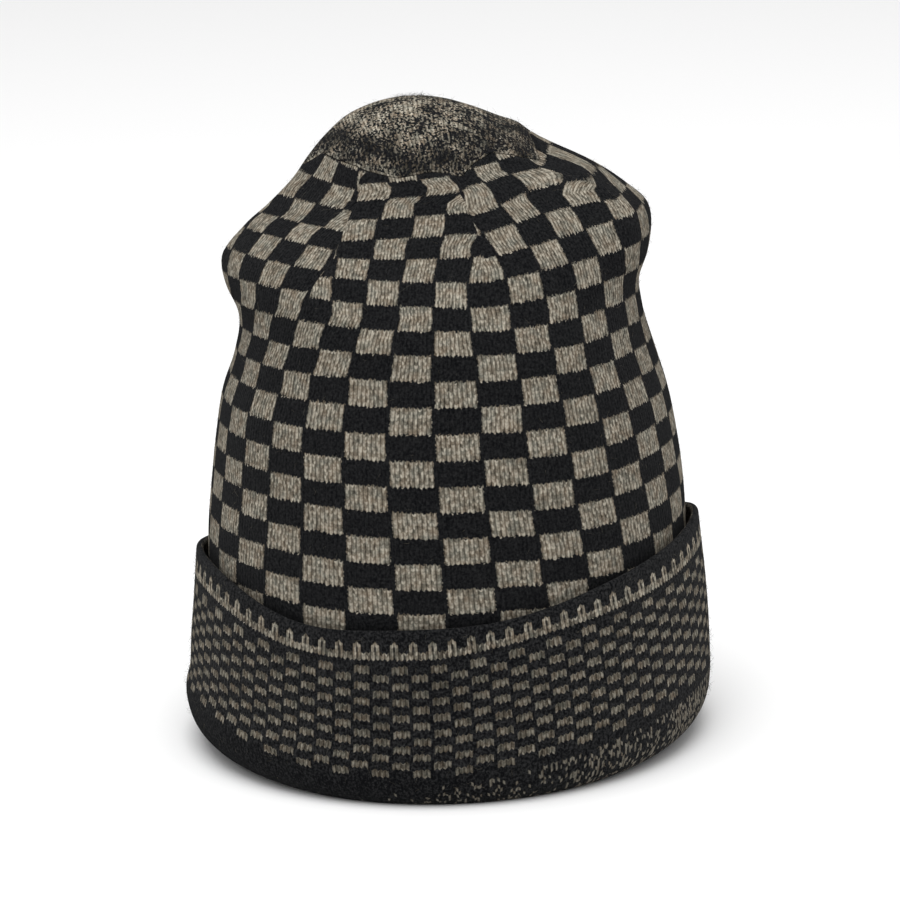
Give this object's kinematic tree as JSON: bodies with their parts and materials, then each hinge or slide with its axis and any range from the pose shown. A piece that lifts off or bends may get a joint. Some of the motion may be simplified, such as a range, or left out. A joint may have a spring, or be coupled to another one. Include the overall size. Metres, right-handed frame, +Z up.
{
  "type": "knit beanie",
  "caption": "Knit beanie with a checked crown, a speckled top panel and a turned-up patterned cuff, standing empty on the fold of its cuff.",
  "frame": {"origin": "on the resting plane, at the centre of the whole hat's bounding box seen from above", "axes": "+Z up from the cuff's fold to the crown's top, front of the hat towards -Y, +X to the right of someone who looks at the front"},
  "size_m": [0.191, 0.192, 0.2308],
  "materials": {
    "checked_wool": "matt wool knit in black and marled light checks, a little fuzzy",
    "speckled_wool": "matt wool knit with a fine black and light speckle",
    "cuff_wool": "matt wool knit in small black and grey checks with a black hem"
  },
  "bodies": {
    "root": {"crown": "checked_wool", "crown_top": "speckled_wool", "cuff": "cuff_wool"}
  },
  "joints": []
}
